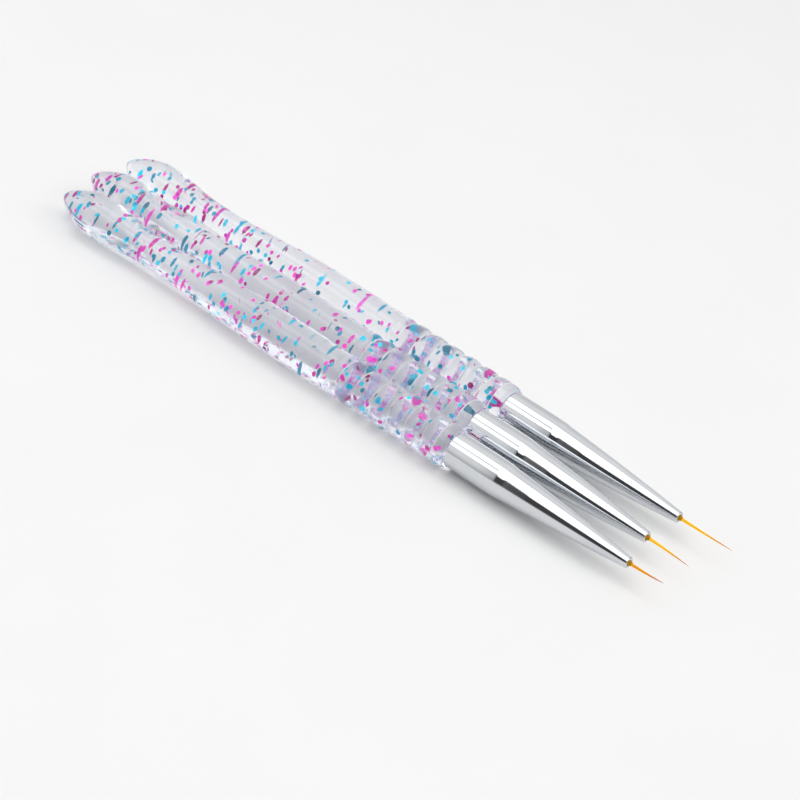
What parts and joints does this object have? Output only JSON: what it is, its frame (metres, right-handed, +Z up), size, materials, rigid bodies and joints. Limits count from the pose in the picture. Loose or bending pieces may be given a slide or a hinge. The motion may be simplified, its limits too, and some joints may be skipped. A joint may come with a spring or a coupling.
{
  "type": "nail art liner brush set",
  "caption": "Matched nail-art liner brushes lying side by side: clear beaded acrylic handles with cyan and magenta glitter, chrome cone ferrules and fine amber tufts.",
  "frame": {"origin": "on the table under the middle of the set's bounding box", "axes": "+X along the brushes towards the tufts, +Y across them from the short brush to the long one, +Z up from the table"},
  "size_m": [0.16, 0.029, 0.009],
  "materials": {
    "clear_acrylic": "clear cast acrylic with embedded foil glitter, polished",
    "clear_glue": "clear hardened adhesive",
    "chrome_ferrule": "polished chrome plate on drawn brass",
    "amber_epoxy": "hardened amber epoxy",
    "glued_hair": "filaments soaked in glue",
    "binding_thread": "waxed thread",
    "nylon_hair": "fine amber nylon filaments, orange-red at the point",
    "cyan_foil": "hexagonal cyan foil glitter cast in the acrylic",
    "magenta_foil": "hexagonal magenta foil glitter cast in the acrylic"
  },
  "bodies": {
    "medium_brush": {"medium_handle": "clear_acrylic", "medium_glue_ring": "clear_glue", "medium_ferrule": "chrome_ferrule", "medium_epoxy_plug": "amber_epoxy", "medium_hair_bundle": "glued_hair", "medium_binding_thread": "binding_thread"},
    "short_brush": {"short_handle": "clear_acrylic", "short_glue_ring": "clear_glue", "short_ferrule": "chrome_ferrule", "short_epoxy_plug": "amber_epoxy", "short_hair_bundle": "glued_hair", "short_binding_thread": "binding_thread"},
    "long_brush": {"long_handle": "clear_acrylic", "long_glue_ring": "clear_glue", "long_ferrule": "chrome_ferrule", "long_epoxy_plug": "amber_epoxy", "long_hair_bundle": "glued_hair", "long_binding_thread": "binding_thread"},
    "short_hair": {"short_tuft": "nylon_hair"},
    "medium_hair": {"medium_tuft": "nylon_hair"},
    "long_hair": {"long_tuft": "nylon_hair"}
  },
  "joints": [
    {"name": "short_brush_lift", "type": "slide", "parent": "medium_brush", "child": "short_brush", "axis": [0, 0, 1], "range_m": [0, 0.06]},
    {"name": "long_brush_lift", "type": "slide", "parent": "medium_brush", "child": "long_brush", "axis": [0, 0, 1], "range_m": [0, 0.06]},
    {"name": "short_tuft_bend", "type": "hinge", "parent": "short_brush", "child": "short_hair", "pos_m": [0.07075, -0.00895, 0.0045], "axis": [0.0079, -1, 0], "range_deg": [-20, 45], "stiffness_Nm_per_rad": 0.00002},
    {"name": "medium_tuft_bend", "type": "hinge", "parent": "medium_brush", "child": "medium_hair", "pos_m": [0.06815, 0.00003, 0.0045], "axis": [0, -1, 0], "range_deg": [-20, 45], "stiffness_Nm_per_rad": 0.00002},
    {"name": "long_tuft_bend", "type": "hinge", "parent": "long_brush", "child": "long_hair", "pos_m": [0.06825, 0.01003, 0.0045], "axis": [0, -1, 0], "range_deg": [-20, 45], "stiffness_Nm_per_rad": 0.00002}
  ]
}
